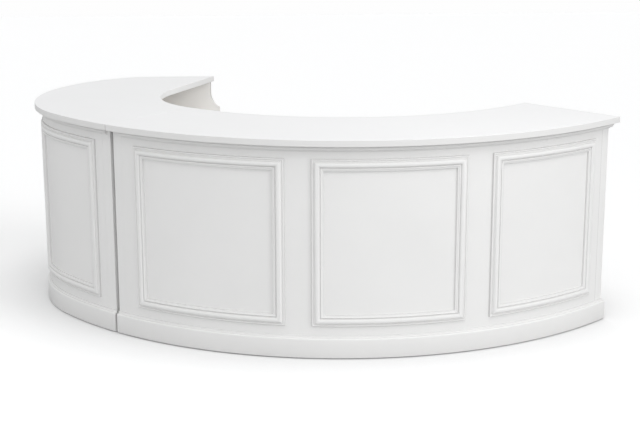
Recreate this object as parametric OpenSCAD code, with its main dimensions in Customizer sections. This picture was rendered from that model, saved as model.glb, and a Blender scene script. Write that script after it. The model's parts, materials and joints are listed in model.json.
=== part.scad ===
// Curved bar counter in two modules, painted timber, with raised picture-frame panels.
// The main module is a sector of a ring. The return module keeps the ring's radius for a
// short run, then turns on a tighter bend, and its far end is cut square to the room.
// Lengths are in millimetres. Z is up and the panelled front of the main module faces -Y.

/* [Overall] */
// Height of the counter over its tops
counter_h = 1100; // [1000:10:1200]
// Outer radius of the main top
top_r = 1960; // [1800:10:2200]
// Depth of the top from its front edge to its staff edge
top_depth = 600; // [540:10:660]
// Thickness of the tops
top_t = 32; // [25:1:45]
// Angle that the main module spans
main_span = 84; // [80:1:90]
// Hairline joint between the two tops
top_joint = 0.8; // [0.4:0.1:3]

/* [Return module] */
// Angle over which the return module keeps the main radius
run_angle = 13; // [11:0.5:16]
// Outer radius of the tight bend
bend_r = 770; // [740:5:800]
// Radius of the staff edge on the return top
staff_bend_r = 475; // [440:5:500]
// Angle that the staff edge of the return top turns through
staff_turn_angle = 75; // [71:1:79]
// Direction of the far front corner, seen from the centre of the bend
far_corner_a = 110.2; // [109.2:0.2:116]

/* [Overhangs] */
// Overhang of the top over the panelled face
front_overhang = 41; // [34:1:46]
// Overhang of the top over the body at the open right end
end_overhang = 41; // [36:1:60]
// Overhang of the top over the body at the far end of the return
far_overhang = 9; // [4:1:20]
// Overhang of the top over the gables at the staff side
staff_overhang = 8; // [6:1:20]
// Width of the dark joint between the two bodies
body_joint = 22; // [12:1:30]

/* [Body] */
// Height of the body over the floor, which the feet make
body_lift = 6; // [5:0.5:12]
// Thickness of the bent front skin
skin_t = 18; // [15:1:24]
// Thickness of the end gables
gable_t = 27; // [22:1:32]
// Width of the end posts
post_w = 57; // [50:1:70]
// Depth of the end posts
post_t = 45; // [38:1:54]
// Thickness of the worktop, shelf, deck, dividers and rails
board_t = 18; // [15:1:22]
// Height of the worktop's surface over the floor
worktop_z = 868; // [840:2:880]
// Height of the shelf's surface over the floor
shelf_z = 478; // [400:2:560]
// Height of the deck's surface over the floor
deck_z = 98; // [92:2:120]
// How far the shelf stays behind the staff edge of the worktop
shelf_setback = 40; // [20:5:80]
// Recess of the kick board behind the staff edge of the deck
kick_recess = 60; // [50:5:80]
// Width of the flat rail behind the skin, under the top
former_w = 60; // [45:5:80]
// Width of the flat bearer under the middle of the top
bearer_w = 80; // [60:5:100]
// Distance of the bearer from the staff edge of the top
bearer_inset = 240; // [220:5:260]

/* [Gable sweep] */
// Height of the straight edge between the top and the sweep
sweep_drop = 65; // [50:1:80]
// Radius of the concave sweep
sweep_r = 97; // [80:1:120]
// Reach of the sweep out from the straight edge
sweep_out = 53; // [40:1:70]

/* [Crown moulding] */
// Height of the crown moulding under the top
crown_h = 30; // [28:1:40]
// Projection of the crown moulding from the face
crown_p = 22; // [19:1:26]
// Height of its upper fillet
crown_fillet_h = 5; // [3:0.5:6]
// Radius of the small bead under the fillet
crown_bead_r = 3; // [2:0.5:3.5]
// Radius of the quarter round under the bead
crown_round_r = 12; // [9:0.5:12.5]

/* [Skirting] */
// Height of the skirting over the floor
skirting_top = 118; // [112:1:140]
// Height of its moulded upper edge
skirting_edge_h = 12; // [10:1:20]
// Radius of the rounded arris under that edge
skirting_arris_r = 8; // [5:1:9]
// Projection of the skirting from the face
skirting_p = 16; // [15:1:22]
// Projection of the fillet at its upper edge
skirting_fillet_p = 4; // [2:1:6]

/* [Panel frames] */
// Width of the first panel frame of the main module
panel_1_w = 810; // [780:5:820]
// Width of the second panel frame of the main module
panel_2_w = 770; // [740:5:780]
// Width of the third panel frame of the main module
panel_3_w = 670; // [640:5:680]
// Plain width between two panel frames
stile_w = 130; // [120:1:135]
// Distance from the joint of the tops to the first main frame
main_margin = 147; // [142:1:152]
// Distance from the joint of the tops to the first return frame
return_margin = 124; // [118:1:130]
// Width of the first panel frame of the return
return_panel_1_w = 600; // [560:5:620]
// Width of the second panel frame of the return
return_panel_2_w = 770; // [700:5:790]
// Height of the frames' lower edge over the floor
frame_z0 = 165; // [150:1:180]
// Distance of the frames' upper edge under the tops
frame_drop = 65; // [60:1:90]
// Width of the frame moulding
frame_w = 60; // [56:1:66]
// Projection of the frame moulding at the crest of its broad round
frame_p = 18; // [16:1:22]
// Height of the frame's outer edge, where its outer bead starts
frame_edge_p = 5; // [4:0.5:6]
// Radius of the frame's outer bead
outer_bead_r = 4.5; // [3.5:0.5:5]
// Radius of the cove between the outer bead and the broad round
frame_cove_r = 4.5; // [3.5:0.5:6]
// Radius of the frame's inner bead
inner_bead_r = 4; // [3:0.5:5]
// Width of the flat fillet inside the inner bead
sight_fillet_w = 8; // [6:1:12]
// Projection of that fillet, which is the height of the sight edge
sight_edge_p = 9; // [7:0.5:10]

/* [Levelling feet] */
// Diameter of the foot's round pad
pad_d = 44; // [36:1:50]
// Height of the pad
pad_h = 5; // [4:0.5:8]
// Width across the flats of the foot's hexagon
hex_af = 17; // [13:1:19]
// Height of the hexagon
hex_h = 4; // [3:0.5:6]
// Diameter of the foot's stem
stem_d = 10; // [8:1:12]
// Length of the stem over the hexagon
stem_l = 50; // [44:1:56]
// Radial clearance between the stem and its insert
stem_clear = 0.05; // [0.02:0.01:0.1]
// Wall of the threaded insert
insert_wall = 2.5; // [2:0.5:4]
// Length of the threaded insert
insert_l = 22; // [20:1:26]
// Diameter of the insert's flange
insert_flange_d = 24; // [20:1:28]
// Thickness of the insert's flange
insert_flange_t = 1.5; // [1:0.5:2.5]
// Side of the square block that holds a foot
block_s = 64; // [56:1:70]

/* [Module bolts] */
// Diameter of the bolts that join the modules
bolt_d = 8; // [6:1:10]
// Diameter of the bolt heads and nuts
bolt_head_d = 22; // [18:1:26]
// Height of the bolt heads and nuts
bolt_head_h = 5; // [4:0.5:7]
// Diameter of the spacer rings in the joint
spacer_d = 24; // [18:1:30]
// Distance of the inner bolts from the staff edge of the tops
inner_bolt_inset = 100; // [80:5:140]
// Distance of the outer bolts from the front edge of the tops
outer_bolt_inset = 220; // [180:5:260]
// Height of the lower bolts over the floor
lower_bolt_z = 300; // [200:10:360]
// Height of the upper bolts over the floor
upper_bolt_z = 720; // [600:10:780]

/* [Hidden] */
$fn = 240;

// Colours
paint = [0.93, 0.93, 0.92];
inner_paint = [0.88, 0.87, 0.85];
steel = [0.66, 0.67, 0.69];
raw_wood = [0.80, 0.69, 0.52];

// Reach of the helper shapes that cut the boards to length
far_reach = 4000;
// Half of the joint between two lengths of moulding
hairline = 0.1;
// Clearance between the curved faces of two pieces that sit on each other
seat = 0.1;
// Distances of the module bolts from the centre of the main ring
bolt_radii = [top_r - top_depth + inner_bolt_inset, top_r - outer_bolt_inset];

// Plan of the tops, seen from the centre of the main ring
seam_a = -90 - main_span / 2;
right_a = -90 + main_span / 2;
run_end_a = seam_a - run_angle;
staff_r = top_r - top_depth;
bend_c = polar(top_r - bend_r, run_end_a);
far_end_y = bend_c[1] + bend_r * sin(far_corner_a);
staff_bend_c = polar(staff_r - staff_bend_r, seam_a);
staff_end_a = seam_a - staff_turn_angle;
staff_line_a = staff_end_a + 270;

// The panelled face
face_r = top_r - front_overhang;
bend_face_r = bend_r - front_overhang;
run_l = face_r * run_angle * PI / 180;

// Heights
top_z = counter_h - top_t;
rail_z = top_z - board_t;
sweep_z = top_z - sweep_drop;
frame_z1 = top_z - frame_drop;
deck_under = deck_z - board_t;

// Distances that the pieces keep from the ends of the tops
seam_setback = body_joint / 2;
inner_seam = seam_setback + gable_t;
inner_right = end_overhang + gable_t;
inner_far = far_overhang + gable_t;
back_of_skin = front_overhang + skin_t + seat;
skirting_lap = 4;

// Distances from the staff edge of the top; less than zero is beyond it
worktop_inset = staff_overhang - sweep_out + 3;
shelf_inset = worktop_inset + shelf_setback;
kick_inset = worktop_inset + kick_recess;

// The part's origin is under the middle of its box, on the floor
box_x0 = bend_c[0] - bend_r;
box_x1 = polar(top_r, right_a)[0];
origin_shift = [-(box_x0 + box_x1) / 2, (top_r - far_end_y) / 2, 0];

// Where the panel frames start and end along the face, from the joint of the tops
main_frame_1 = [main_margin, main_margin + panel_1_w];
main_frame_2 = [main_frame_1[1] + stile_w, main_frame_1[1] + stile_w + panel_2_w];
main_frame_3 = [main_frame_2[1] + stile_w, main_frame_2[1] + stile_w + panel_3_w];
return_frame_1 = [return_margin, return_margin + return_panel_1_w];
return_frame_2 = [return_frame_1[1] + stile_w, return_frame_1[1] + stile_w + return_panel_2_w];

// The dividers stand behind the plain strips between the panel frames
divider_1_a = seam_a + arc_angle(face_r, main_frame_1[1] + stile_w / 2);
divider_2_a = seam_a + arc_angle(face_r, main_frame_2[1] + stile_w / 2);
return_divider_a = return_angle(return_frame_1[1] + stile_w / 2);

// Levelling feet
stem_z = pad_h + hex_h;
insert_z = stem_z + 0.3;
block_z = insert_z + insert_flange_t;
insert_r = stem_d / 2 + insert_wall;
foot_front_inset = front_overhang + post_t + block_s / 2 + 14;
foot_staff_inset = kick_inset + board_t + block_s / 2 + 14;
foot_side_inset = block_s / 2 + 16;
front_foot_r = top_r - foot_front_inset;
bend_foot_r = bend_r - foot_front_inset;
staff_foot_r = staff_r + foot_staff_inset;
bend_foot_angles = [38, 90];
far_foot_y = far_end_y - inner_far - foot_side_inset;
far_line_point = staff_bend_c + polar(staff_bend_r + foot_staff_inset, staff_end_a);
far_staff_foot = [
    far_line_point[0] + (far_foot_y - far_line_point[1]) / tan(staff_line_a), far_foot_y
];
// Place and turn of each foot
feet = [
    [beside_plane(front_foot_r, seam_a, inner_seam + foot_side_inset), seam_a],
    [polar(front_foot_r, -90), 0],
    [beside_plane(front_foot_r, right_a, -inner_right - foot_side_inset), right_a],
    [beside_plane(staff_foot_r, seam_a, inner_seam + foot_side_inset), seam_a],
    [polar(staff_foot_r, -90), 0],
    [beside_plane(staff_foot_r, right_a, -inner_right - foot_side_inset), right_a],
    [beside_plane(front_foot_r, seam_a, -inner_seam - foot_side_inset), seam_a],
    [bend_c + polar(bend_foot_r, run_end_a - bend_foot_angles[0]), run_end_a - bend_foot_angles[0]],
    [bend_c + polar(bend_foot_r, run_end_a - bend_foot_angles[1]), run_end_a - bend_foot_angles[1]],
    [beside_plane(staff_foot_r, seam_a, -inner_seam - foot_side_inset), seam_a],
    [far_staff_foot, staff_line_a]
];

// Crown moulding: projection from the face, height. From above: a fillet, a quirk, a bead,
// a quarter round and a lower fillet.
crown_quirk_d = 3;
crown_quirk_h = 2;
crown_bead_x = crown_p - 2 - crown_bead_r;
crown_bead_z = top_z - crown_fillet_h - crown_quirk_h - crown_bead_r;
crown_round_x = crown_bead_x - crown_round_r;
crown_points = concat(
    [[0, top_z], [crown_p, top_z], [crown_p, top_z - crown_fillet_h]],
    [[crown_p - crown_quirk_d, top_z - crown_fillet_h]],
    arc_points([crown_bead_x, crown_bead_z], crown_bead_r, 75, -75, 5),
    arc_points([crown_round_x, crown_bead_z - crown_bead_r], crown_round_r, 0, -90),
    [[crown_round_x - 1, top_z - crown_h], [0, top_z - crown_h]]
);

// Skirting: projection from the face, height. A rounded arris, a small cove and a fillet.
skirting_edge_z = skirting_top - skirting_edge_h;
skirting_cove_r = skirting_p - skirting_fillet_p - skirting_arris_r;
skirting_points = concat(
    [[0, body_lift], [skirting_p, body_lift]],
    arc_points([skirting_p - skirting_arris_r, skirting_edge_z - skirting_arris_r],
        skirting_arris_r, 0, 85),
    arc_points([skirting_p - skirting_arris_r, skirting_edge_z + skirting_cove_r],
        skirting_cove_r, -90, -180, 4),
    [[skirting_fillet_p, skirting_top], [0, skirting_top]]
);

// Frame moulding: distance across from its outer edge, projection from the face. An outer
// bead, a cove, a broad round, a quirk, an inner bead and a flat fillet at the sight edge.
outer_bead_x = outer_bead_r + 0.5;
frame_cove_x = 2 * outer_bead_r + 2.5;
frame_cove_p = frame_edge_p + frame_cove_r;
inner_bead_x = frame_w - sight_fillet_w - inner_bead_r;
round_x0 = frame_cove_x + frame_cove_r;
round_x1 = inner_bead_x - inner_bead_r - 2.5;
round_x = (round_x0 + round_x1) / 2;
round_half_w = (round_x1 - round_x0) / 2;
round_p = sight_edge_p - 1;
round_rise = frame_p - round_p;
round_centre = [round_x, round_p];
frame_points = concat(
    [[0, 0], [0, frame_edge_p]],
    arc_points([outer_bead_x, frame_edge_p], outer_bead_r, 170, 20),
    arc_points([frame_cove_x, frame_cove_p], frame_cove_r, -90, -10, 4),
    [for (a = [14:19:166]) round_centre + [-round_half_w * hump(cos(a)), round_rise * hump(sin(a))]],
    [[round_x1 + 0.5, round_p]],
    arc_points([inner_bead_x, round_p], inner_bead_r, 180, 25, 5),
    [[frame_w - sight_fillet_w, sight_edge_p], [frame_w, sight_edge_p], [frame_w, 0]]
);

// Sine or cosine bent so that a half circle becomes flatter on top
function hump(v) = sign(v) * pow(abs(v), 0.77);
function polar(r, a) = [r * cos(a), r * sin(a)];
function arc_angle(r, l) = l / r * 180 / PI;
// Angle of the point on a radius that is a distance beside the plane at an angle
function beside(a, r, d) = a + asin(d / r);
function beside_plane(r, a, d) = polar(r, beside(a, r, d));
// Points round an arc about a centre, from one angle to another
function arc_points(c, r, a0, a1, n = 6) = [for (i = [0:n]) c + polar(r, a0 + (a1 - a0) * i / n)];
// Centre, radius and angle of the return's face at a distance from the joint of the tops
function return_centre(s) = s < run_l ? [0, 0] : bend_c;
function return_r(s) = s < run_l ? face_r : bend_face_r;
function return_angle(s) = s < run_l
    ? seam_a - arc_angle(face_r, s)
    : run_end_a - arc_angle(bend_face_r, s - run_l);

// Half of the plane, on the left of a line through a point at an angle
module left_of(p, a) {
    translate(p) rotate(a) translate([-far_reach, 0]) square([2 * far_reach, far_reach]);
}

// What the main module keeps between its two ends, less a setback at each
module main_ends(left, right) {
    difference() {
        children();
        left_of(polar(left, seam_a + 90), seam_a + 180);
        left_of(polar(right, right_a - 90), right_a);
    }
}

// What the return module keeps between the joint of the tops and its far end
module return_ends(near, far) {
    difference() {
        children();
        left_of(polar(near, seam_a - 90), seam_a);
        left_of([0, far_end_y - far], 0);
    }
}

// Solid plan inside the return's front edge, set in by a distance
module return_front_plan(inset) {
    intersection() {
        circle(r = top_r - inset);
        polygon([[0, 0], polar(far_reach, seam_a), polar(far_reach, run_end_a)]);
    }
    translate(bend_c) circle(r = bend_r - inset);
}

// What lies on the staff side of the return's staff edge, set out by a distance
module return_staff_plan(inset) {
    tangent = staff_bend_c + polar(staff_bend_r + inset, staff_end_a);
    back_y = far_end_y + top_depth;
    line_l = (back_y - tangent[1]) / sin(staff_line_a);
    translate(staff_bend_c) circle(r = staff_bend_r + inset);
    polygon([
        staff_bend_c, tangent, tangent + polar(line_l, staff_line_a),
        [far_reach, back_y], [far_reach, -far_reach]
    ]);
}

// Board of the main module between a front and a staff inset
module main_plan(front, staff, left, right) {
    main_ends(left, right) difference() {
        circle(r = top_r - front);
        circle(r = staff_r + staff);
    }
}

// Board of the return module between a front and a staff inset
module return_plan(front, staff, near, far) {
    return_ends(near, far) difference() {
        return_front_plan(front);
        return_staff_plan(staff);
    }
}

// Strips that follow the front or the staff edge of the return, a distance in from it
module return_front_strip(inset, w, near, far) {
    difference() {
        return_plan(inset, top_depth / 4, near, far);
        return_front_plan(inset + w);
    }
}

module return_staff_strip(front, inset, w, near, far) {
    intersection() {
        return_plan(front, inset, near, far);
        return_staff_plan(inset + w);
    }
}

// Plans of the posts, which the boards behind the skin are notched for
module radial_post_plan(a, y) {
    rotate(a) translate([face_r - post_t, y]) square([2 * post_t, post_w]);
}

module far_post_plan() {
    difference() {
        return_front_strip(front_overhang, post_t, seam_setback, inner_far);
        left_of([0, far_end_y - inner_far - post_w], 180);
        left_of(bend_c, 180 - asin((far_end_y - inner_far - bend_c[1]) / bend_face_r) + 180);
    }
}

// Plan of a board that fills a module from end to end behind its skin
module main_inner_plan(staff) {
    difference() {
        main_plan(back_of_skin, staff, inner_seam, inner_right);
        radial_post_plan(seam_a, seam_setback);
        radial_post_plan(right_a, -end_overhang - post_w);
    }
}

module return_inner_plan(staff) {
    difference() {
        return_plan(back_of_skin, staff, inner_seam, inner_far);
        radial_post_plan(seam_a, -seam_setback - post_w);
        far_post_plan();
    }
}

// Plan of a divider that stands on a radius through a centre
module divider_plan(c, a) {
    translate(c) rotate(a) translate([0, -board_t / 2]) square([far_reach, board_t]);
}

module board(z, t) {
    translate([0, 0, z]) linear_extrude(t) children();
}

// Outline of a gable: its staff edge, with a concave sweep. The first coordinate is the
// distance from the top's staff edge, and the second is the height.
module sweep_outline(z0, z1) {
    difference() {
        translate([staff_overhang - sweep_out, z0]) square([top_depth + sweep_out, z1 - z0]);
        translate([staff_overhang - sweep_r, sweep_z]) circle(r = sweep_r);
        translate([staff_overhang - top_depth, sweep_z]) square([top_depth, top_depth]);
    }
}

// The outline as a plate that stands at an angle, between two distances from that plane
module sweep_plate(c, a, x, y0, y1, z0, z1) {
    translate([c[0], c[1], 0]) rotate(a) translate([x, y1, 0]) rotate([90, 0, 0])
        linear_extrude(y1 - y0) sweep_outline(z0, z1);
}

module bolt_holes() {
    for (r = bolt_radii, z = [lower_bolt_z, upper_bolt_z])
        rotate(seam_a) translate([r, 0, z]) rotate([90, 0, 0])
            cylinder(h = 4 * inner_seam, r = bolt_d / 2 + stem_clear, center = true);
}

module main_gable(a, y) {
    intersection() {
        sweep_plate([0, 0], a, staff_r, y, y + gable_t, body_lift, top_z);
        cylinder(h = counter_h, r = face_r - post_t - seat);
    }
}

module main_post(a, y) {
    intersection() {
        board(body_lift, top_z - body_lift) radial_post_plan(a, y);
        cylinder(h = counter_h, r = face_r);
    }
}

// Bracket that carries the top over the worktop, notched for the former and the bearer
module main_bracket(a) {
    difference() {
        intersection() {
            sweep_plate([0, 0], a, staff_r, -board_t / 2, board_t / 2, worktop_z, top_z);
            cylinder(h = counter_h, r = top_r - back_of_skin);
        }
        board(rail_z, top_t) main_top_rails();
    }
}

module main_divider(a) {
    intersection() {
        board(deck_z, worktop_z - board_t - deck_z) divider_plan([0, 0], a);
        board(0, counter_h) main_plan(back_of_skin, shelf_inset, inner_seam, inner_right);
    }
}

module main_top_rails() {
    main_former_plan();
    main_bearer_plan();
}

module main_former_plan() {
    difference() {
        main_plan(back_of_skin, 0, seam_setback + post_w, end_overhang + post_w);
        circle(r = top_r - back_of_skin - former_w);
    }
}

module main_bearer_plan() {
    main_plan(top_depth - bearer_inset - bearer_w, bearer_inset, inner_seam, inner_right);
}

module return_former_plan() {
    return_front_strip(back_of_skin, former_w, seam_setback + post_w, inner_far + post_w);
}

module return_bearer_plan() {
    return_staff_strip(back_of_skin + former_w + seat, bearer_inset, bearer_w, inner_seam, inner_far);
}

// Profile swept round an arc about a centre; its first coordinate is the distance off the face
module sweep_arc(c, r, a0, a1, points) {
    translate([c[0], c[1], 0]) rotate(min(a0, a1)) rotate_extrude(angle = abs(a1 - a0))
        polygon([for (p = points) [r + seat + p[0], p[1]]]);
}

// One upright length of frame moulding, cut at its back to the round of the face
module frame_stile(c, r, a, dir) {
    back = 2;
    points = [for (p = frame_points)
        [r + seat + (p[1] == 0 ? -back : p[1]), a + dir * arc_angle(r, p[0])]];
    translate([c[0], c[1], 0]) difference() {
        board(frame_z0, frame_z1 - frame_z0) polygon([for (p = points) polar(p[0], p[1])]);
        cylinder(h = counter_h, r = r + seat);
        mitre(r, a, dir, frame_z0, 1, -hairline);
        mitre(r, a, dir, frame_z1, -1, -hairline);
    }
}

// Triangle that cuts the mitre at a corner of a frame; a gap below zero is for a stile
module mitre(r, a, dir, z, dir_z, gap) {
    near = -12;
    reach = frame_w + 12;
    depth = 45;
    corner = gap < 0 ? [reach, near] : [near, reach];
    points = [[near + gap, near], [reach + gap, reach], corner];
    translate([0, 0, z]) rotate(a) translate([r - depth, 0, 0]) rotate([90, 0, 90])
        linear_extrude(2 * depth) polygon([for (p = points) [dir * p[0], dir_z * p[1]]]);
}

// One level length of frame moulding between two angles, with a mitre at each true end
module frame_rail(c, r, a0, a1, z, dir_z, dir, mitres) {
    points = [for (p = frame_points) [p[1], z + dir_z * p[0]]];
    translate([c[0], c[1], 0]) difference() {
        sweep_arc([0, 0], r, a0, a1, points);
        if (mitres[0]) mitre(r, a0, dir, z, dir_z, hairline);
        if (mitres[1]) mitre(r, a1, -dir, z, dir_z, hairline);
    }
}

module main_frame(s) {
    a0 = seam_a + arc_angle(face_r, s[0]);
    a1 = seam_a + arc_angle(face_r, s[1]);
    frame_stile([0, 0], face_r, a0, 1);
    frame_stile([0, 0], face_r, a1, -1);
    frame_rail([0, 0], face_r, a0, a1, frame_z0, 1, 1, [true, true]);
    frame_rail([0, 0], face_r, a0, a1, frame_z1, -1, 1, [true, true]);
}

// The return's rails break where the run meets the bend
module return_frame(s) {
    crosses = s[0] < run_l && s[1] > run_l;
    lengths = crosses ? [[s[0], run_l - hairline], [run_l + hairline, s[1]]] : [s];
    frame_stile(return_centre(s[0]), return_r(s[0]), return_angle(s[0]), -1);
    frame_stile(return_centre(s[1]), return_r(s[1]), return_angle(s[1]), 1);
    for (l = lengths, e = [[frame_z0, 1], [frame_z1, -1]]) {
        middle = (l[0] + l[1]) / 2;
        frame_rail(return_centre(middle), return_r(middle), return_angle(l[0]),
            return_angle(l[1]), e[0], e[1], -1, [l[0] == s[0], l[1] == s[1]]);
    }
}

// Block that clears the left of a line through a corner, seen from above
module corner_cut(p, a) {
    side = 300;
    translate([p[0], p[1], -1]) rotate(a) translate([-side, 0, 0])
        cube([2 * side, side, counter_h + 2]);
}

// Moulding along the main front and back along the open right end, mitred at the corner
module main_moulding(points, left, staff_end) {
    corner_a = beside(right_a, face_r, -end_overhang);
    corner = polar(face_r, corner_a);
    mitre_a = (corner_a + right_a + 90) / 2;
    step = polar(hairline, mitre_a + 90);
    overrun = 60;
    difference() {
        sweep_arc([0, 0], face_r, beside(seam_a, face_r, left), right_a + 1, points);
        corner_cut(corner - step, mitre_a);
    }
    difference() {
        rotate(right_a) translate([staff_end, 0, 0]) rotate([90, 0, 90])
            linear_extrude(face_r + overrun - staff_end)
            polygon([for (p = points) [p[0] - end_overhang, p[1]]]);
        corner_cut(corner + step, mitre_a + 180);
    }
}

// Moulding along the return front: one length on the run and one on the bend
module return_moulding(points, near) {
    gap_a = arc_angle(face_r, hairline);
    bend_gap_a = arc_angle(bend_face_r, hairline);
    sweep_arc([0, 0], face_r, beside(seam_a, face_r, -near), run_end_a + gap_a, points);
    difference() {
        sweep_arc(bend_c, bend_face_r, run_end_a - bend_gap_a, -270, points);
        translate([-far_reach, far_end_y - far_overhang, -1])
            cube([2 * far_reach, far_reach, counter_h + 2]);
    }
}

// Distance from the bend's centre to the top's staff edge along an angle
function staff_distance(a) =
    let (v = bend_c - staff_bend_c, b = v * polar(1, a))
    -b + sqrt(b * b - v * v + staff_bend_r * staff_bend_r);

// A levelling foot, drawn on its own axis
module foot(i) {
    tip = 2;
    pad_edge = 1.5;
    place() translate([feet[i][0][0], feet[i][0][1], 0]) {
        rotate_extrude() polygon([
            [0, 0], [pad_d / 2 - pad_edge, 0], [pad_d / 2, pad_edge], [pad_d / 2, pad_h - pad_edge],
            [pad_d / 2 - pad_edge, pad_h], [0, pad_h]
        ]);
        translate([0, 0, pad_h]) cylinder(h = hex_h, d = hex_af / cos(30), $fn = 6);
        translate([0, 0, stem_z]) cylinder(h = stem_l - tip, d = stem_d);
        translate([0, 0, stem_z + stem_l - tip]) cylinder(h = tip, d1 = stem_d, d2 = stem_d - 2 * tip);
    }
}

module at_feet() {
    for (f = feet) translate([f[0][0], f[0][1], 0]) rotate(f[1]) children();
}

module place() {
    translate(origin_shift) children();
}

module main_top() {
    color(paint) place() board(top_z, top_t) main_plan(0, 0, top_joint / 2, 0);
}

module return_top() {
    color(paint) place() board(top_z, top_t) return_plan(0, 0, top_joint / 2, 0);
}

module main_skin() {
    color(paint) place() board(body_lift, top_z - body_lift) difference() {
        main_plan(front_overhang, 0, seam_setback + post_w, end_overhang + post_w);
        circle(r = face_r - skin_t);
    }
}

module return_skin() {
    color(paint) place() board(body_lift, top_z - body_lift)
        return_front_strip(front_overhang, skin_t, seam_setback + post_w, inner_far + post_w);
}

module main_crown() {
    color(paint) place() main_moulding(crown_points, seam_setback + post_w, staff_r + staff_overhang);
}

module return_crown() {
    color(paint) place() return_moulding(crown_points, seam_setback + post_w);
}

module main_skirting() {
    color(paint) place() main_moulding(skirting_points, seam_setback - skirting_lap,
        staff_r + staff_overhang - sweep_out);
}

module return_skirting() {
    color(paint) place() return_moulding(skirting_points, seam_setback - skirting_lap);
}

module main_panel_frame_1() {
    color(paint) place() main_frame(main_frame_1);
}

module main_panel_frame_2() {
    color(paint) place() main_frame(main_frame_2);
}

module main_panel_frame_3() {
    color(paint) place() main_frame(main_frame_3);
}

module return_panel_frame_1() {
    color(paint) place() return_frame(return_frame_1);
}

module return_panel_frame_2() {
    color(paint) place() return_frame(return_frame_2);
}

module main_left_post() {
    color(paint) place() main_post(seam_a, seam_setback);
}

module main_right_post() {
    color(paint) place() main_post(right_a, -end_overhang - post_w);
}

module return_near_post() {
    color(paint) place() main_post(seam_a, -seam_setback - post_w);
}

module return_far_post() {
    color(paint) place() board(body_lift, top_z - body_lift) far_post_plan();
}

module main_left_gable() {
    color(inner_paint) place() difference() {
        main_gable(seam_a, seam_setback);
        bolt_holes();
    }
}

module main_right_gable() {
    color(inner_paint) place() main_gable(right_a, -end_overhang - gable_t);
}

module return_near_gable() {
    color(inner_paint) place() difference() {
        main_gable(seam_a, -seam_setback - gable_t);
        bolt_holes();
    }
}

// The far gable is square to the room, and its staff edge follows the top's staff edge
module return_far_gable() {
    tangent = staff_bend_c + polar(staff_bend_r, staff_end_a);
    color(inner_paint) place() intersection() {
        sweep_plate(tangent, staff_line_a + 90, 0, -2 * top_depth, 0, body_lift, top_z);
        translate([-far_reach, far_end_y - inner_far, 0]) cube([2 * far_reach, gable_t, counter_h]);
        translate([bend_c[0], bend_c[1], 0]) cylinder(h = counter_h, r = bend_face_r);
    }
}

module main_worktop() {
    color(inner_paint) place() board(worktop_z - board_t, board_t) main_inner_plan(worktop_inset);
}

module return_worktop() {
    color(inner_paint) place() board(worktop_z - board_t, board_t)
        return_inner_plan(worktop_inset);
}

module main_shelf() {
    color(inner_paint) place() board(shelf_z - board_t, board_t) difference() {
        main_inner_plan(shelf_inset);
        divider_plan([0, 0], divider_1_a);
        divider_plan([0, 0], divider_2_a);
    }
}

module return_shelf() {
    color(inner_paint) place() board(shelf_z - board_t, board_t) difference() {
        return_inner_plan(shelf_inset);
        divider_plan(bend_c, return_divider_a);
    }
}

module main_deck() {
    color(inner_paint) place() board(deck_under, board_t) main_inner_plan(worktop_inset);
}

module return_deck() {
    color(inner_paint) place() board(deck_under, board_t) return_inner_plan(worktop_inset);
}

module main_divider_1() {
    color(inner_paint) place() main_divider(divider_1_a);
}

module main_divider_2() {
    color(inner_paint) place() main_divider(divider_2_a);
}

module return_divider() {
    color(inner_paint) place() board(deck_z, worktop_z - board_t - deck_z) intersection() {
        divider_plan(bend_c, return_divider_a);
        return_plan(back_of_skin, shelf_inset, inner_seam, inner_far);
    }
}

module main_bracket_1() {
    color(inner_paint) place() main_bracket(divider_1_a);
}

module main_bracket_2() {
    color(inner_paint) place() main_bracket(divider_2_a);
}

module return_bracket() {
    x = staff_distance(return_divider_a);
    color(inner_paint) place() difference() {
        intersection() {
            sweep_plate(bend_c, return_divider_a, x, -board_t / 2, board_t / 2, worktop_z, top_z);
            translate([bend_c[0], bend_c[1], 0]) cylinder(h = counter_h, r = bend_r - back_of_skin);
        }
        board(rail_z, top_t) return_former_plan();
        board(rail_z, top_t) return_bearer_plan();
    }
}

module main_front_former() {
    color(raw_wood) place() board(rail_z, board_t) main_former_plan();
}

module return_front_former() {
    color(raw_wood) place() board(rail_z, board_t) return_former_plan();
}

module main_top_bearer() {
    color(raw_wood) place() board(rail_z, board_t) main_bearer_plan();
}

module return_top_bearer() {
    color(raw_wood) place() board(rail_z, board_t) return_bearer_plan();
}

module main_kick_board() {
    color(inner_paint) place() board(body_lift, deck_under - body_lift) main_plan(
        top_depth - kick_inset - board_t, kick_inset, inner_seam, inner_right);
}

module return_kick_board() {
    color(inner_paint) place() board(body_lift, deck_under - body_lift)
        return_staff_strip(back_of_skin, kick_inset, board_t, inner_seam, inner_far);
}

module foot_blocks() {
    color(raw_wood) place() at_feet() difference() {
        translate([-block_s / 2, -block_s / 2, block_z])
            cube([block_s, block_s, deck_under - block_z]);
        cylinder(h = counter_h, r = insert_r + stem_clear);
    }
}

module foot_inserts() {
    color(steel) place() at_feet() difference() {
        union() {
            translate([0, 0, insert_z]) cylinder(h = insert_l, r = insert_r);
            translate([0, 0, insert_z]) cylinder(h = insert_flange_t, d = insert_flange_d);
        }
        cylinder(h = counter_h, r = stem_d / 2 + stem_clear);
    }
}

// Bolts through the gables at the joint, each with its spacer ring, head and nut
module module_bolts() {
    color(steel) place() for (r = bolt_radii, z = [lower_bolt_z, upper_bolt_z])
        rotate(seam_a) translate([r, 0, z]) rotate([90, 0, 0]) {
            cylinder(h = 2 * inner_seam, d = bolt_d, center = true);
            cylinder(h = body_joint, d = spacer_d, center = true);
            for (s = [-1, 1]) translate([0, 0, s * (inner_seam + bolt_head_h / 2)])
                cylinder(h = bolt_head_h, d = bolt_head_d, center = true);
        }
}

module foot_1() {
    color(steel) foot(0);
}

module foot_2() {
    color(steel) foot(1);
}

module foot_3() {
    color(steel) foot(2);
}

module foot_4() {
    color(steel) foot(3);
}

module foot_5() {
    color(steel) foot(4);
}

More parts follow.
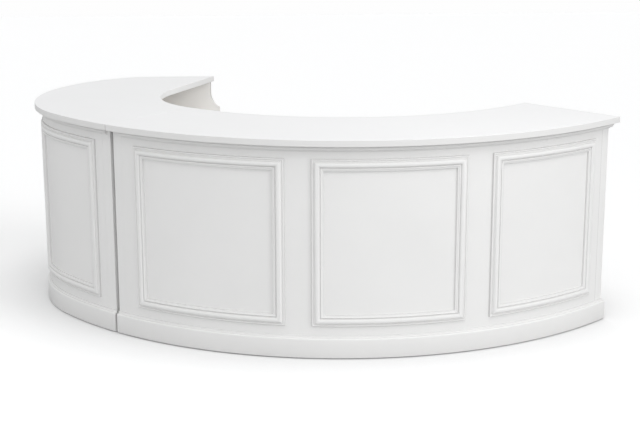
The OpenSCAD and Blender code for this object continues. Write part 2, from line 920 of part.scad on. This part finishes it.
module foot_6() {
    color(steel) foot(5);
}

module foot_7() {
    color(steel) foot(6);
}

module foot_8() {
    color(steel) foot(7);
}

module foot_9() {
    color(steel) foot(8);
}

module foot_10() {
    color(steel) foot(9);
}

module foot_11() {
    color(steel) foot(10);
}

main_top();
return_top();
main_skin();
return_skin();
main_crown();
return_crown();
main_skirting();
return_skirting();
main_panel_frame_1();
main_panel_frame_2();
main_panel_frame_3();
return_panel_frame_1();
return_panel_frame_2();
main_left_post();
main_right_post();
return_near_post();
return_far_post();
main_left_gable();
main_right_gable();
return_near_gable();
return_far_gable();
main_worktop();
return_worktop();
main_shelf();
return_shelf();
main_deck();
return_deck();
main_divider_1();
main_divider_2();
return_divider();
main_bracket_1();
main_bracket_2();
return_bracket();
main_front_former();
return_front_former();
main_top_bearer();
return_top_bearer();
main_kick_board();
return_kick_board();
foot_blocks();
foot_inserts();
module_bolts();
foot_1();
foot_2();
foot_3();
foot_4();
foot_5();
foot_6();
foot_7();
foot_8();
foot_9();
foot_10();
foot_11();
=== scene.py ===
# Looks of the curved bar counter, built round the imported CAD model.
import json
import math

import bpy
import bmesh
from mathutils import Matrix, Vector


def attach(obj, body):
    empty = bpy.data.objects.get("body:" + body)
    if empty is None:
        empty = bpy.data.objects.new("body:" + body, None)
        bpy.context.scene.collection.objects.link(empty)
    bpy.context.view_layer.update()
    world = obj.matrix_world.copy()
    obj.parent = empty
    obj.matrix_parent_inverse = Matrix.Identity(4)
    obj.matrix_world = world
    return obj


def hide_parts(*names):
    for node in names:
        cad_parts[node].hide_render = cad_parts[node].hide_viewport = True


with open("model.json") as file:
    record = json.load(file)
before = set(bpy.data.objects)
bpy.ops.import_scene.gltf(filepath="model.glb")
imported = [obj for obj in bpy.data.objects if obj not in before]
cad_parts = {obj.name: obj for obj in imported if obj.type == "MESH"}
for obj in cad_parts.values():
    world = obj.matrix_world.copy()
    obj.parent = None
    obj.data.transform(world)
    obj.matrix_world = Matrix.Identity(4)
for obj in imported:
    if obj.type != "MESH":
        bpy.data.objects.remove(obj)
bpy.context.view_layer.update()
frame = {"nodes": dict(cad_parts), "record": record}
scene = bpy.context.scene
scene.view_settings.view_transform = "Standard"

# Plan round the centre of the main ring, in metres and degrees
TOP_R = 1.960
TOP_DEPTH = 0.600
FRONT_OVERHANG = 0.041
BEND_R = 0.770
SEAM = -132.0
RIGHT = -48.0
RUN_END = -145.0
FAR_CORNER = 110.2
STAFF_R = TOP_R - TOP_DEPTH
FACE_R = TOP_R - FRONT_OVERHANG
BEND_FACE_R = BEND_R - FRONT_OVERHANG

# From that centre's frame to the part's
SHIFT = Vector((0.216647, 0.959958, 0.0))

# Distances from the end planes and the staff edge of the tops
END_SETBACK = 0.041
SEAM_SETBACK = 0.011
FAR_SETBACK = 0.009
STAFF_OVERHANG = 0.008
SWEEP_OUT = 0.053
POST_W = 0.057
SKIRTING_LAP = 0.004
RETURN_CROWN_SETBACK = 0.030

# Under side of the tops
TOP_Z0 = 1.068

# Panel frames: heights, and widths along the face from the joint of the tops
FRAME_Z0 = 0.165
FRAME_Z1 = 1.003
STILE_W = 0.130
MAIN_MARGIN = 0.147
MAIN_PANELS = (0.810, 0.770, 0.670)
RETURN_MARGIN = 0.124
RETURN_PANELS = (0.600, 0.770)


def polar(r, a):
    return Vector((r * math.cos(math.radians(a)), r * math.sin(math.radians(a)), 0.0))


def joint_angle(setback):
    """Degrees round the face to a line that stands a setback away from an end plane."""
    return math.degrees(math.asin(setback / FACE_R))


BEND_C = polar(TOP_R - BEND_R, RUN_END)
RUN_L = FACE_R * math.radians(SEAM - RUN_END)
FAR_Y = BEND_C.y + BEND_R * math.sin(math.radians(FAR_CORNER)) - FAR_SETBACK


# Camera
def set_camera():
    place = Vector((-0.76237, -8.16937, 2.39416)) + SHIFT
    heading = math.radians(84.126)
    pitch = math.radians(13.388)
    roll = 0.00376
    forward = Vector((math.cos(pitch) * math.cos(heading), math.cos(pitch) * math.sin(heading),
                      -math.sin(pitch)))
    level = Vector((math.sin(heading), -math.cos(heading), 0))
    upright = level.cross(forward)
    right = level * math.cos(roll) + upright * math.sin(roll)
    up = upright * math.cos(roll) - level * math.sin(roll)
    data = bpy.data.cameras.new("camera")
    data.sensor_fit = "HORIZONTAL"
    data.sensor_width = 36.0
    data.lens = 76.42
    data.shift_x = -0.052
    data.shift_y = -0.0515
    data.clip_end = 100
    camera = bpy.data.objects.new("camera", data)
    scene.collection.objects.link(camera)
    pose = Matrix((right, up, -forward)).transposed().to_4x4()
    pose.translation = place
    camera.matrix_world = pose
    scene.camera = camera


set_camera()


# Shader nodes
class Nodes:
    """Adds shader nodes to a tree and links them."""

    def __init__(self, tree):
        self.tree = tree

    def find(self, kind):
        return next(n for n in self.tree.nodes if n.type == kind)

    def fill(self, node, inputs):
        for k, v in inputs.items():
            if isinstance(v, bpy.types.NodeSocket):
                self.tree.links.new(v, node.inputs[k])
            else:
                node.inputs[k].default_value = v

    def add(self, kind, inputs=None, **props):
        n = self.tree.nodes.new(kind)
        for k, v in props.items():
            setattr(n, k, v)
        self.fill(n, inputs or {})
        return n

    def math(self, op, a, b=0.0):
        return self.add("ShaderNodeMath", {0: a, 1: b}, operation=op).outputs[0]

    def split(self, vector):
        """The x, y and z of a vector."""
        return self.add("ShaderNodeSeparateXYZ", {0: vector}).outputs

    def geometry(self, name):
        return self.add("ShaderNodeNewGeometry").outputs[name]

    def rise(self, fac, low, high, first=(0, 0, 0), last=(1, 1, 1)):
        """One colour up to a low value, another from a high value on, and a blend between."""
        n = self.add("ShaderNodeValToRGB", {"Fac": fac})
        for e, place, col in zip(n.color_ramp.elements, (low, high), (first, last)):
            e.position = place
            e.color = (*col, 1)
        return n.outputs["Color"]

    def noise(self, vector, scale, detail, rough=0.55):
        return self.add("ShaderNodeTexNoise", {"Vector": vector, "Scale": scale, "Detail": detail,
                                               "Roughness": rough}).outputs["Fac"]

    def scaled(self, vector, scale):
        return self.add("ShaderNodeMapping", {"Vector": vector, "Scale": scale}).outputs["Vector"]

    def mix(self, fac, a, b):
        a, b = (v if isinstance(v, bpy.types.NodeSocket) else (*v, 1) for v in (a, b))
        return self.add("ShaderNodeMix", {0: fac, 6: a, 7: b}, data_type="RGBA").outputs[2]

    def bump(self, height, strength=1.0):
        return self.add("ShaderNodeBump", {"Height": height, "Strength": strength,
                                           "Distance": 1.0}).outputs["Normal"]


class Material(Nodes):
    """A material's nodes, with its one shader."""

    def __init__(self, name):
        self.mat = bpy.data.materials.new(name)
        self.mat.use_nodes = True
        super().__init__(self.mat.node_tree)
        self.bsdf = self.find("BSDF_PRINCIPLED")

    def out(self, **inputs):
        self.fill(self.bsdf, {k.replace("_", " "): v for k, v in inputs.items()})
        return self.mat


def object_coords(n):
    return n.add("ShaderNodeTexCoord").outputs["Object"]


def round_coords(n, geo):
    """Coordinates that run round the main ring's centre: along the face, up, and outward."""
    p = n.add("ShaderNodeVectorMath", {0: geo, 1: tuple(-SHIFT)}, operation="ADD").outputs[0]
    x, y, z = n.split(p)
    out = n.math("SQRT", n.math("ADD", n.math("MULTIPLY", x, x), n.math("MULTIPLY", y, y)))
    run = n.math("MULTIPLY", n.math("ARCTAN2", y, x), FACE_R)
    return n.add("ShaderNodeCombineXYZ", {0: run, 1: z, 2: out}).outputs[0]


# Layers of colour on the paint, each a function of its nodes, the colour so far and the base
def low_dust(amount, reach=0.16):
    """Patchy dust that gathers near the floor."""
    def layer(n, col, base):
        z = n.split(n.geo)[2]
        low = n.math("SUBTRACT", 1.0, n.math("DIVIDE", z, reach))
        low = n.add("ShaderNodeClamp", {0: low}).outputs[0]
        patches = n.noise(n.geo, 9.0, 6.0, 0.7)
        fac = n.math("MULTIPLY", n.math("MULTIPLY", low, patches), amount)
        return n.mix(fac, col, (0.42, 0.40, 0.37))
    return layer


def upright_edge_shade(colour):
    """The upright edge of a level board, in a darker colour of its own as painted shade."""
    def layer(n, col, base):
        z = n.split(n.geometry("True Normal"))[2]
        return n.mix(n.rise(z, 0.2, 0.9), colour, col)
    return layer


def right_side_shade(colour):
    """Painted shade on faces that look towards the right, given as a darker colour of their own."""
    def layer(n, col, base):
        x = n.split(n.geometry("True Normal"))[0]
        return n.mix(n.rise(x, 0.6, 0.8), col, colour)
    return layer


def painted_crease_shade(n, col, base):
    """Painted shade: dark lines along a moulding's creases and edges, where shade falls, as deep as its
    mesh says.
    """
    depth = n.add("ShaderNodeAttribute", attribute_name="quirk").outputs["Fac"]
    return n.mix(depth, col, tuple(c * 0.70 for c in base))


def painted_ledge_shade(amount):
    """Painted shade on the ledges that look upwards, to tone down the light they catch from above."""
    def layer(n, col, base):
        z = n.split(n.geometry("Normal"))[2]
        fac = n.math("MULTIPLY", n.rise(z, 0.15, 0.75), amount)
        return n.mix(fac, col, (0.52, 0.515, 0.505))
    return layer


def frieze_shade(amount, z0=0.995, z1=1.036):
    """Painted shade, soft and deepening upwards, under the crown moulding where its shadow falls."""
    def layer(n, col, base):
        z = n.split(n.geo)[2]
        fac = n.add("ShaderNodeMapRange", {"Value": z, "From Min": z0, "From Max": z1,
                                           "To Min": 0.0, "To Max": amount}).outputs[0]
        return n.mix(fac, col, (0.50, 0.495, 0.485))
    return layer


def joint_line(angle, half_w, depth, level_share=0.15):
    """A dark joint across the face at an angle of the ring, fainter on level surfaces."""
    def layer(n, col, base):
        run = n.split(n.vec)[0]
        off = n.math("ABSOLUTE", n.math("SUBTRACT", run, FACE_R * math.radians(angle)))
        steep = n.math("LESS_THAN", n.split(n.geometry("True Normal"))[2], 0.7)
        shown = n.math("ADD", n.math("MULTIPLY", steep, (1 - level_share) * depth),
                       level_share * depth)
        fac = n.math("MULTIPLY", n.math("LESS_THAN", off, half_w), shown)
        return n.mix(fac, col, (0.30, 0.29, 0.28))
    return layer


# Materials
def paint(name, base, rough, stroke, *layers):
    """Brushed satin paint: faint strokes, an orange peel, slight mottling and a few flecks."""
    n = Material(name)
    n.geo = object_coords(n)
    n.vec = round_coords(n, n.geo)
    strokes = n.noise(n.scaled(n.vec, stroke), 1.0, 3.0)
    peel = n.noise(n.geo, 340.0, 2.0)
    wave = n.noise(n.geo, 5.5, 2.0)
    mottle = n.noise(n.geo, 2.3, 5.0, 0.6)
    specks = n.noise(n.geo, 95.0, 2.0)
    darker = tuple(c * 0.985 for c in base)
    lighter = tuple(c * 1.01 for c in base)
    col = n.mix(n.rise(mottle, 0.35, 0.7), darker, lighter)
    fleck = tuple(c * f for c, f in zip(base, (0.955, 0.94, 0.91)))
    col = n.mix(n.math("MULTIPLY", n.rise(specks, 0.70, 0.80), 0.35), col, fleck)
    for layer in layers:
        col = layer(n, col, base)
    gloss = n.math("ADD", n.math("MULTIPLY", mottle, 0.10), rough - 0.05)
    gloss = n.math("ADD", gloss, n.math("MULTIPLY", strokes, 0.04))
    height = n.math("ADD", n.math("MULTIPLY", strokes, 0.000012), n.math("MULTIPLY", peel, 0.000007))
    height = n.math("ADD", height, n.math("MULTIPLY", wave, 0.00025))
    return n.out(Base_Color=col, Roughness=gloss, Normal=n.bump(height), IOR=1.48)


def wood(name):
    """Planed pine: growth lines along the board, and pores."""
    n = Material(name)
    vec = round_coords(n, object_coords(n))
    warp = n.noise(n.scaled(vec, (1.2, 7.0, 7.0)), 1.0, 3.0)
    rings = n.math("ADD", n.math("MULTIPLY", warp, 16.0), n.split(n.scaled(vec, (3.0, 140.0, 210.0)))[2])
    band = n.math("ADD", n.math("MULTIPLY", n.math("SINE", rings), 0.5), 0.5)
    pores = n.noise(n.scaled(vec, (26.0, 520.0, 520.0)), 1.0, 3.0)
    col = n.mix(band, (0.66, 0.50, 0.31), (0.50, 0.34, 0.18))
    col = n.mix(n.rise(pores, 0.38, 0.52, (1, 1, 1), (0, 0, 0)), col, (0.42, 0.28, 0.15))
    height = n.math("ADD", n.math("MULTIPLY", band, 0.0001), n.math("MULTIPLY", pores, 0.0001))
    return n.out(Base_Color=col, Roughness=0.62, Normal=n.bump(height, 0.8))


def zinc(name, threaded=False):
    """Zinc-plated steel: cloudy plating, fine scratches, and a thread where asked for."""
    thread_z0 = 0.0092
    pitch = 0.0015
    n = Material(name)
    geo = object_coords(n)
    cloud = n.noise(geo, 70.0, 4.0, 0.6)
    scratch = n.noise(n.scaled(geo, (900.0, 900.0, 60.0)), 1.0, 3.0)
    col = n.mix(cloud, (0.60, 0.61, 0.63), (0.74, 0.74, 0.75))
    height = n.math("MULTIPLY", scratch, 0.00002)
    if threaded:
        z = n.split(geo)[2]
        on = n.math("GREATER_THAN", z, thread_z0)
        turns = n.math("SINE", n.math("MULTIPLY", z, 2 * math.pi / pitch))
        height = n.math("ADD", height, n.math("MULTIPLY", n.math("MULTIPLY", turns, on), 0.00035))
    gloss = n.math("ADD", n.math("MULTIPLY", cloud, 0.2), 0.25)
    return n.out(Base_Color=col, Metallic=1.0, Roughness=gloss, Normal=n.bump(height))


WHITE = (0.85, 0.847, 0.84)
TOP_WHITE = (0.86, 0.86, 0.862)
# Painted shade: the upright edge of the tops, darker than their level faces
TOP_EDGE_SHADE = (0.80, 0.797, 0.79)
INNER = (0.86, 0.845, 0.82)
# Painted shade: the gable's edge that looks to the right, much darker than its face
GABLE_EDGE_SHADE = (0.60, 0.59, 0.57)

# Scales of the brush strokes along the face, up, and outward
ALONG_TOP = (9.0, 9.0, 260.0)
ALONG_FRONT = (7.0, 300.0, 40.0)
UP_FRONT = (300.0, 6.0, 40.0)
ALONG_SKIRTING = (6.0, 320.0, 320.0)
ALONG_INSIDE = (8.0, 200.0, 200.0)
UP_INSIDE = (200.0, 7.0, 120.0)

RIGHT_POST_EDGE = RIGHT - joint_angle(END_SETBACK + POST_W)
# Painted shade in these paints: crease lines and upward ledges on the front and skirting, the frieze under
# the crown, the top's upright edge and the gable's right side
MATERIALS = {
    "top": paint("top_paint", TOP_WHITE, 0.34, ALONG_TOP, upright_edge_shade(TOP_EDGE_SHADE),
                 joint_line(SEAM, 0.0016, 0.5)),
    "front": paint("front_paint", WHITE, 0.40, ALONG_FRONT, painted_crease_shade, painted_ledge_shade(0.36),
                   frieze_shade(0.12)),
    "upright": paint("upright_paint", WHITE, 0.40, UP_FRONT, frieze_shade(0.12),
                     joint_line(RIGHT_POST_EDGE, 0.0022, 0.35)),
    "skirting": paint("skirting_paint", WHITE, 0.40, ALONG_SKIRTING, low_dust(0.12), painted_crease_shade,
                      painted_ledge_shade(0.12)),
    "inner": paint("inner_paint", INNER, 0.46, ALONG_INSIDE, low_dust(0.15)),
    "inner_upright": paint("inner_upright_paint", INNER, 0.46, UP_INSIDE, low_dust(0.15)),
    "gable": paint("gable_paint", INNER, 0.46, UP_INSIDE, low_dust(0.15), right_side_shade(GABLE_EDGE_SHADE)),
    "wood": wood("pine"),
    "zinc": zinc("zinc"),
    "threaded": zinc("threaded_zinc", True),
}

# Width of the rounded arrises; the steel pieces keep their own
ARRIS = {
    "top": 0.0022,
    "front": 0.0004,
    "upright": 0.0014,
    "inner": 0.0012,
    "inner_upright": 0.0018,
    "gable": 0.0018,
    "wood": 0.0008,
}
BODY_OF = {node: name for name, nodes in frame["record"]["behaviour"]["bodies"].items()
           for node in nodes}


def material_for(node):
    if node.startswith("foot_") and node[5:].isdigit():
        return "threaded"
    if node in ("foot_inserts", "module_bolts"):
        return "zinc"
    if node == "foot_blocks" or "former" in node or "bearer" in node:
        return "wood"
    if node.endswith("_top"):
        return "top"
    if "skirting" in node:
        return "skirting"
    if "post" in node:
        return "upright"
    if node == "return_far_gable":
        return "gable"
    if "gable" in node or "divider" in node or "bracket" in node:
        return "inner_upright"
    if any(k in node for k in ("worktop", "shelf", "deck", "kick")):
        return "inner"
    return "front"


# Pieces
SMOOTH_ANGLE = math.radians(32)


def give_material(obj, key):
    obj.data.materials.clear()
    obj.data.materials.append(MATERIALS[key])


def finish_piece(obj, node):
    key = material_for(node)
    give_material(obj, key)
    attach(obj, BODY_OF[node])
    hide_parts(node)


def smooth(obj):
    """Smooth shading that breaks at the arrises."""
    me = obj.data
    me.shade_smooth()
    bm = bmesh.new()
    bm.from_mesh(me)
    for e in bm.edges:
        e.smooth = len(e.link_faces) == 2 and e.calc_face_angle(0) < SMOOTH_ANGLE
    bm.to_mesh(me)
    bm.free()


def eased(node, width):
    """A copy of a CAD node with clean flat faces and rounded arrises."""
    src = frame["nodes"][node]
    me = src.data.copy()
    obj = bpy.data.objects.new(node + "_looks", me)
    scene.collection.objects.link(obj)
    bm = bmesh.new()
    bm.from_mesh(me)
    bmesh.ops.remove_doubles(bm, verts=bm.verts, dist=2e-6)
    bmesh.ops.dissolve_limit(bm, angle_limit=math.radians(0.15), verts=bm.verts, edges=bm.edges)
    bm.to_mesh(me)
    bm.free()
    obj.matrix_world = src.matrix_world
    smooth(obj)
    arris = obj.modifiers.new("arris", "BEVEL")
    arris.width = width
    arris.segments = 3
    arris.limit_method = "ANGLE"
    arris.angle_limit = SMOOTH_ANGLE
    arris.harden_normals = True
    arris.miter_outer = "MITER_ARC"
    finish_piece(obj, node)


def moulded_piece(node, sections, loop, shade_depths):
    """A moulding skinned over a row of sections, closed if loop, with the depth of its painted shade
    lines.
    """
    name = node + "_looks"
    count = len(sections[0])
    rows = len(sections)
    faces = []
    for i in range(rows if loop else rows - 1):
        a = i * count
        b = (i + 1) % rows * count
        for j in range(count):
            k = (j + 1) % count
            faces.append((a + j, a + k, b + k, b + j))
    if not loop:
        faces.append(tuple(range(count))[::-1])
        faces.append(tuple((rows - 1) * count + j for j in range(count)))
    me = bpy.data.meshes.new(name)
    me.from_pydata([tuple(p) for s in sections for p in s], [], faces)
    bm = bmesh.new()
    bm.from_mesh(me)
    bmesh.ops.recalc_face_normals(bm, faces=bm.faces)
    bm.to_mesh(me)
    bm.free()
    # Depth of the painted shade lines at each point of the profile, the same in every section
    shade = me.attributes.new("quirk", "FLOAT", "POINT")
    shade.data.foreach_set("value", shade_depths * rows)
    obj = bpy.data.objects.new(name, me)
    scene.collection.objects.link(obj)
    smooth(obj)
    finish_piece(obj, node)


def painted_shade_depths(places, shade_lines):
    """How deep each place lies in the painted shade lines, each of a place, a half width and a depth."""
    return [max([0.0] + [depth * (1 - abs(v - place) / half_w) for place, half_w, depth in shade_lines])
            for v in places]


def placed(p, z):
    """A point of the plan at a height, in the part's frame."""
    p = p + SHIFT
    return Vector((p.x, p.y, z))


def main_point(s, z, out):
    """A point at a distance along the main face, proud of it by out."""
    return placed(polar(FACE_R + out, SEAM + math.degrees(s / FACE_R)), z)


def return_point(s, z, out):
    """A point at a distance along the return face, proud of it by out."""
    if s < RUN_L:
        return placed(polar(FACE_R + out, SEAM - math.degrees(s / FACE_R)), z)
    a = RUN_END - math.degrees((s - RUN_L) / BEND_FACE_R)
    return placed(BEND_C + polar(BEND_FACE_R + out, a), z)


# Profiles, written in millimetres: projection from the face, and height or distance across
def arc(cx, cy, r, a0, a1, steps):
    angles = [math.radians(a0 + (a1 - a0) * i / steps) for i in range(steps + 1)]
    return [(cx + r * math.cos(a), cy + r * math.sin(a)) for a in angles]


def bulge(cx, cy, rx, ry, a0, a1, steps, power=2.3):
    """Part of a rounded hump that is flatter on top than an ellipse."""
    points = []
    for i in range(steps + 1):
        a = math.radians(a0 + (a1 - a0) * i / steps)
        points.append((cx - math.copysign(abs(math.cos(a)) ** (2 / power), math.cos(a)) * rx,
                       cy + math.sin(a) ** (2 / power) * ry))
    return points


def frame_profile():
    """Outer bead, cove, broad round, quirk, inner bead and a flat fillet: across, projection."""
    mm = [(0.2, -2.0), (0.2, 4.6)] + arc(5.0, 4.9, 4.45, 172, 12, 14)
    mm += arc(11.5, 9.5, 4.5, -98, -10, 12)
    mm += bulge(28.8, 8.2, 12.5, 9.6, 12, 168, 32)
    mm += [(42.0, 8.6), (42.4, 8.3), (43.3, 8.3)] + arc(48.0, 8.1, 3.9, 174, 26, 12)
    mm += [(52.2, 8.8), (52.8, 8.7), (58.0, 8.6), (59.2, 8.2), (59.7, 7.2), (59.8, 6.0), (59.8, -2.0)]
    return [(x / 1000, y / 1000) for x, y in mm]


def crown_profile():
    """Fillet, quirk, bead, quarter round and lower fillet: projection, height."""
    mm = [(-2.0, -0.1), (21.2, -0.1), (21.8, -0.7), (21.8, -4.3), (21.4, -4.9), (19.2, -5.0), (18.6, -6.6)]
    mm += arc(17.0, -10.0, 2.9, 76, -72, 12) + [(17.2, -13.1)]
    mm += arc(5.1, -13.4, 11.8, 2, -88, 18)
    mm += [(4.6, -25.4), (4.4, -29.4), (3.9, -29.9), (-2.0, -29.9)]
    return [(x / 1000, TOP_Z0 + z / 1000) for x, z in mm]


def skirting_profile():
    """Plain face, a rounded arris, a small cove and a fillet: projection, height."""
    mm = [(-2.0, 6.0), (14.4, 6.0), (15.5, 6.5), (15.9, 7.6)]
    mm += arc(7.95, 97.95, 7.95, 0, 86, 16) + arc(7.9, 110.0, 4.05, -92, -176, 8)
    mm += [(3.9, 110.6), (3.9, 116.6), (3.4, 117.6), (2.4, 117.9), (-2.0, 117.9)]
    return [(x / 1000, z / 1000) for x, z in mm]


# Painted shade lines of each profile, in its creases, at its edges and under the crown, in metres: place,
# half width and depth
FRAME_SHADE_LINES = [(0.0002, 0.0040, 0.8), (0.0108, 0.0030, 0.15), (0.0432, 0.0034, 0.5),
                (0.0598, 0.0034, 0.4)]
CROWN_SHADE_LINES = [(TOP_Z0 - 0.0133, 0.0016, 0.15), (TOP_Z0 - 0.029, 0.005, 0.25)]
SKIRTING_SHADE_LINES = [(0.1062, 0.0016, 0.4), (0.1179, 0.0016, 0.6)]


def frame_piece(node, point, s0, s1):
    """A picture-frame moulding bent round the face, mitred at its corners."""
    steps = 110
    prof = frame_profile()
    sections = []
    for z, inward in ((FRAME_Z0, 1), (FRAME_Z1, -1)):
        for i in range(steps + 1):
            t = i / steps if inward > 0 else 1 - i / steps
            sections.append([point(s0 + x + t * (s1 - s0 - 2 * x), z + inward * x, y)
                             for x, y in prof])
    moulded_piece(node, sections, True, painted_shade_depths([x for x, y in prof], FRAME_SHADE_LINES))


def frame_row(module, point, margin, widths):
    """The panel frames of a module, a stile's width apart."""
    s = margin
    for i, width in enumerate(widths):
        frame_piece("%s_panel_frame_%d" % (module, i + 1), point, s, s + width)
        s += width + STILE_W


def corner_moulding(node, prof, shade_lines, setback, staff_end):
    """Moulding along the main front that turns the corner at the open right end."""
    steps = 160
    corner_a = RIGHT - joint_angle(END_SETBACK)
    corner = polar(FACE_R, corner_a)
    mitre_a = (corner_a + RIGHT + 90) / 2
    stretch = 1 / math.cos(math.radians(corner_a - mitre_a))
    start = SEAM + joint_angle(setback)
    sections = []
    for i in range(steps):
        a = start + (corner_a - start) * i / steps
        sections.append([placed(polar(FACE_R + x, a), z) for x, z in prof])
    sections.append([placed(corner + polar(x * stretch, mitre_a), z) for x, z in prof])
    side = polar(1, RIGHT + 90)
    along = polar(1, RIGHT)
    for r in (FACE_R - 0.15, staff_end + 0.3, staff_end):
        sections.append([placed(along * r + side * (x - END_SETBACK), z) for x, z in prof])
    moulded_piece(node, sections, False, painted_shade_depths([z for x, z in prof], shade_lines))


def bend_moulding(node, prof, shade_lines, setback):
    """Moulding along the return front, cut square at the far end."""
    run_steps = 24
    bend_steps = 120
    start = SEAM - joint_angle(setback)
    sections = []
    for i in range(run_steps):
        a = start + (RUN_END - start) * i / run_steps
        sections.append([placed(polar(FACE_R + x, a), z) for x, z in prof])
    for i in range(bend_steps + 1):
        row = []
        for x, z in prof:
            r = BEND_FACE_R + x
            end = -180 - math.degrees(math.asin((FAR_Y - BEND_C.y) / r))
            a = RUN_END + (end - RUN_END) * i / bend_steps
            row.append(placed(BEND_C + polar(r, a), z))
        sections.append(row)
    moulded_piece(node, sections, False, painted_shade_depths([z for x, z in prof], shade_lines))


def add_mouldings():
    crown = crown_profile()
    skirting = skirting_profile()
    crown_end = STAFF_R + STAFF_OVERHANG
    skirting_end = crown_end - SWEEP_OUT
    skirting_setback = SEAM_SETBACK - SKIRTING_LAP
    corner_moulding("main_crown", crown, CROWN_SHADE_LINES, SEAM_SETBACK + POST_W, crown_end)
    corner_moulding("main_skirting", skirting, SKIRTING_SHADE_LINES, skirting_setback, skirting_end)
    bend_moulding("return_crown", crown, CROWN_SHADE_LINES, RETURN_CROWN_SETBACK)
    bend_moulding("return_skirting", skirting, SKIRTING_SHADE_LINES, skirting_setback)
    frame_row("main", main_point, MAIN_MARGIN, MAIN_PANELS)
    frame_row("return", return_point, RETURN_MARGIN, RETURN_PANELS)


def add_boards_and_steel():
    for node, obj in frame["nodes"].items():
        key = material_for(node)
        if any(k in node for k in ("crown", "skirting", "panel_frame")):
            continue
        if key in ARRIS:
            eased(node, ARRIS[key])
        else:
            give_material(obj, key)


add_mouldings()
add_boards_and_steel()


# Stage and light
def add_floor():
    """A pale floor with a soft shade round the counter. Its own bounce of light is duller."""
    half = 14.0
    me = bpy.data.meshes.new("floor")
    me.from_pydata([(-half, -half, 0), (half, -half, 0), (half, half, 0), (-half, half, 0)], [],
                   [(0, 1, 2, 3)])
    obj = bpy.data.objects.new("floor", me)
    scene.collection.objects.link(obj)
    n = Material("floor")
    near = n.add("ShaderNodeAmbientOcclusion", {"Distance": 0.60}, samples=12).outputs["AO"]
    seen = n.rise(near, 0.40, 0.98, (0.70, 0.70, 0.70), (0.99, 0.99, 0.99))
    camera = n.add("ShaderNodeLightPath").outputs["Is Camera Ray"]
    me.materials.append(n.out(Base_Color=n.mix(camera, (0.58, 0.58, 0.58), seen), Roughness=0.9,
                              Emission_Color=seen, Specular_IOR_Level=0.0,
                              Emission_Strength=n.math("MULTIPLY", camera, 0.12)))


def set_world():
    """White all round, to look at and in reflections; as a light it is stronger from the front."""
    world = bpy.data.worlds.new("world")
    scene.world = world
    world.use_nodes = True
    n = Nodes(world.node_tree)
    around = n.add("ShaderNodeTexCoord").outputs["Generated"]
    facing = n.add("ShaderNodeVectorMath", {0: around, 1: (-0.37, -0.93, 0.0)},
                   operation="DOT_PRODUCT").outputs["Value"]
    strength = n.add("ShaderNodeMath", {0: facing, 1: 0.36, 2: 0.72},
                     operation="MULTIPLY_ADD").outputs[0]
    light = n.find("BACKGROUND")
    n.fill(light, {"Color": (0.99, 0.995, 1.0, 1), "Strength": strength})
    white = n.add("ShaderNodeBackground", {"Color": (1, 1, 1, 1), "Strength": 0.99})
    path = n.add("ShaderNodeLightPath")
    plain = n.math("MAXIMUM", path.outputs["Is Camera Ray"], path.outputs["Is Glossy Ray"])
    both = n.add("ShaderNodeMixShader", {0: plain, 1: light.outputs[0], 2: white.outputs[0]})
    n.fill(n.find("OUTPUT_WORLD"), {"Surface": both.outputs[0]})


def add_lamp(name, light, direction):
    """A light that shines against a direction."""
    lamp = bpy.data.objects.new(name, light)
    scene.collection.objects.link(lamp)
    lamp.rotation_mode = "QUATERNION"
    lamp.rotation_quaternion = direction.to_track_quat("Z", "Y")
    return lamp


def add_sun(name, level, az, el, width):
    """A soft distant light; level is what it adds to a white face that looks straight at it."""
    sun = bpy.data.lights.new(name, "SUN")
    sun.energy = level * math.pi
    sun.angle = math.radians(width)
    az, el = math.radians(az), math.radians(el)
    add_lamp(name, sun, Vector((math.cos(el) * math.cos(az), math.cos(el) * math.sin(az), math.sin(el))))


def add_card(name, place, target, size, power):
    """A soft square light that the camera doesn't see."""
    light = bpy.data.lights.new(name, "AREA")
    light.energy = power
    light.size = size
    lamp = add_lamp(name, light, Vector(place) - Vector(target))
    lamp.location = place
    lamp.visible_camera = False


add_floor()
set_world()
add_sun("key", 0.10, az=-85, el=65, width=30)
add_sun("low", 0.22, az=-34, el=20, width=28)
add_card("inside card", (-0.42, -0.02, 0.72), (-1.35, 0.60, 0.85), size=0.7, power=1.8)
add_card("window", (1.15, -1.70, 3.0), (0.25, -0.6, 1.0), size=1.6, power=12.0)
